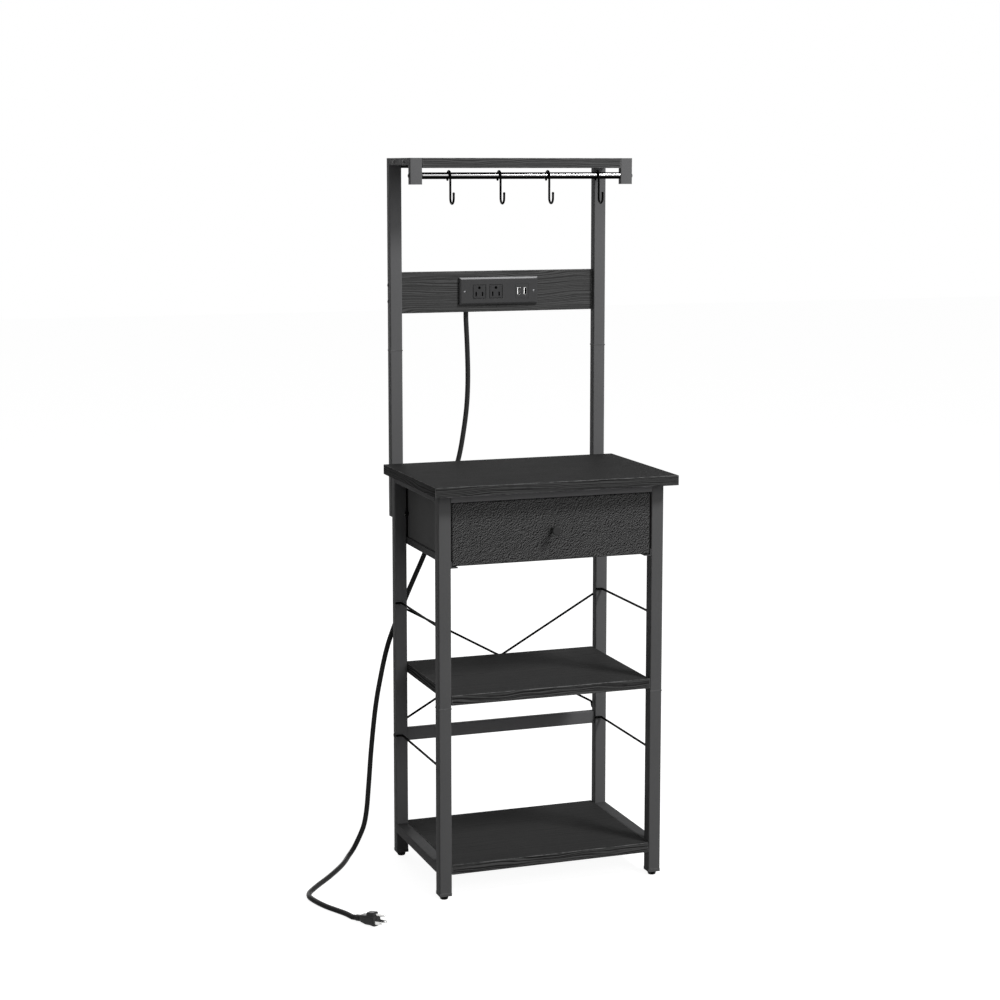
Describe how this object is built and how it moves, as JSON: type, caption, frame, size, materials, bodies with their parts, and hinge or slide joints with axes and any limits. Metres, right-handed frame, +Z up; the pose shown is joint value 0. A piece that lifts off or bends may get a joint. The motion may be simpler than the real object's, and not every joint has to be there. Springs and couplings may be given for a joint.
{
  "type": "bakers rack",
  "caption": "Narrow bakers rack: black steel frame with dark shelves, a leather-look drawer, a power outlet board, and an S-hook rod under the top shelf.",
  "frame": {"origin": "on the floor, under the middle of the rack's bounding box without its cord and plug", "axes": "+Z up, -Y out of the rack's front, where the drawer opens, +X to the right as seen from the front"},
  "size_m": [0.6616, 0.4201, 1.309],
  "materials": {
    "frame_steel": "satin black powder coat",
    "wire_steel": "satin black powder coat on thin wire",
    "board": "matte black-oak laminate on board, with faint streaks of grain",
    "drawer_front": "mottled charcoal leather-look film on board",
    "drawer_panel": "smooth matte dark grey film on board",
    "rod_steel": "polished gunmetal",
    "outlet_plastic": "satin black moulded plastic",
    "socket_plastic": "smooth black moulded plastic",
    "rubber": "matte black rubber",
    "plug_rubber": "black moulded rubber with bright metal blades and pin"
  },
  "bodies": {
    "rack": {"front_post_left_lower": "frame_steel", "front_post_left_upper": "frame_steel", "front_post_right_lower": "frame_steel", "front_post_right_upper": "frame_steel", "back_post_left": "frame_steel", "back_post_right": "frame_steel", "glide_front_left": "rubber", "glide_front_right": "rubber", "glide_back_left": "rubber", "glide_back_right": "rubber", "bottom_rail_left": "frame_steel", "bottom_rail_right": "frame_steel", "top_rail_left": "frame_steel", "top_rail_right": "frame_steel", "top_rail_front": "frame_steel", "top_rail_back": "frame_steel", "back_stretcher": "frame_steel", "bottom_shelf": "board", "mid_shelf": "board", "worktop": "board", "top_shelf": "board", "outlet_board": "board", "guard_wire_left_low": "wire_steel", "guard_wire_left_high": "wire_steel", "guard_wire_right_low": "wire_steel", "guard_wire_right_high": "wire_steel", "brace_wire_rising": "wire_steel", "brace_wire_falling": "wire_steel", "runner_left": "frame_steel", "runner_right": "frame_steel", "hutch_post_left_lower": "frame_steel", "hutch_post_left_upper": "frame_steel", "hutch_post_right_lower": "frame_steel", "hutch_post_right_upper": "frame_steel", "arm_left": "frame_steel", "arm_right": "frame_steel", "drop_bracket_left": "frame_steel", "drop_bracket_right": "frame_steel", "hanging_rod": "rod_steel", "outlet_housing": "outlet_plastic", "outlet_bezel": "outlet_plastic", "receptacle_1": "socket_plastic", "receptacle_2": "socket_plastic", "usb_module": "socket_plastic", "cord_gland": "rubber", "cord": "rubber", "plug": "plug_rubber"},
    "drawer": {"drawer_front": "drawer_front", "drawer_back": "drawer_panel", "drawer_bottom": "drawer_panel", "drawer_side_left": "drawer_panel", "drawer_side_right": "drawer_panel", "drawer_stop_left": "rubber", "drawer_stop_right": "rubber", "drawer_knob": "frame_steel"},
    "hook_1": {"s_hook_1": "wire_steel"},
    "hook_2": {"s_hook_2": "wire_steel"},
    "hook_3": {"s_hook_3": "wire_steel"},
    "hook_4": {"s_hook_4": "wire_steel"}
  },
  "joints": [
    {"name": "drawer_slide", "type": "slide", "parent": "rack", "child": "drawer", "axis": [0, -1, 0], "range_m": [0, 0.231]},
    {"name": "hook_swing_1", "type": "hinge", "parent": "rack", "child": "hook_1", "pos_m": [-0.13886, 0.01875, 1.2775], "axis": [1, 0, 0], "range_deg": [-80, 80]},
    {"name": "hook_swing_2", "type": "hinge", "parent": "rack", "child": "hook_2", "pos_m": [-0.04401, 0.01875, 1.2775], "axis": [1, 0, 0], "range_deg": [-80, 80]},
    {"name": "hook_swing_3", "type": "hinge", "parent": "rack", "child": "hook_3", "pos_m": [0.04932, 0.01875, 1.2775], "axis": [1, 0, 0], "range_deg": [-80, 80]},
    {"name": "hook_swing_4", "type": "hinge", "parent": "rack", "child": "hook_4", "pos_m": [0.14569, 0.01875, 1.2775], "axis": [1, 0, 0], "range_deg": [-80, 80]}
  ]
}
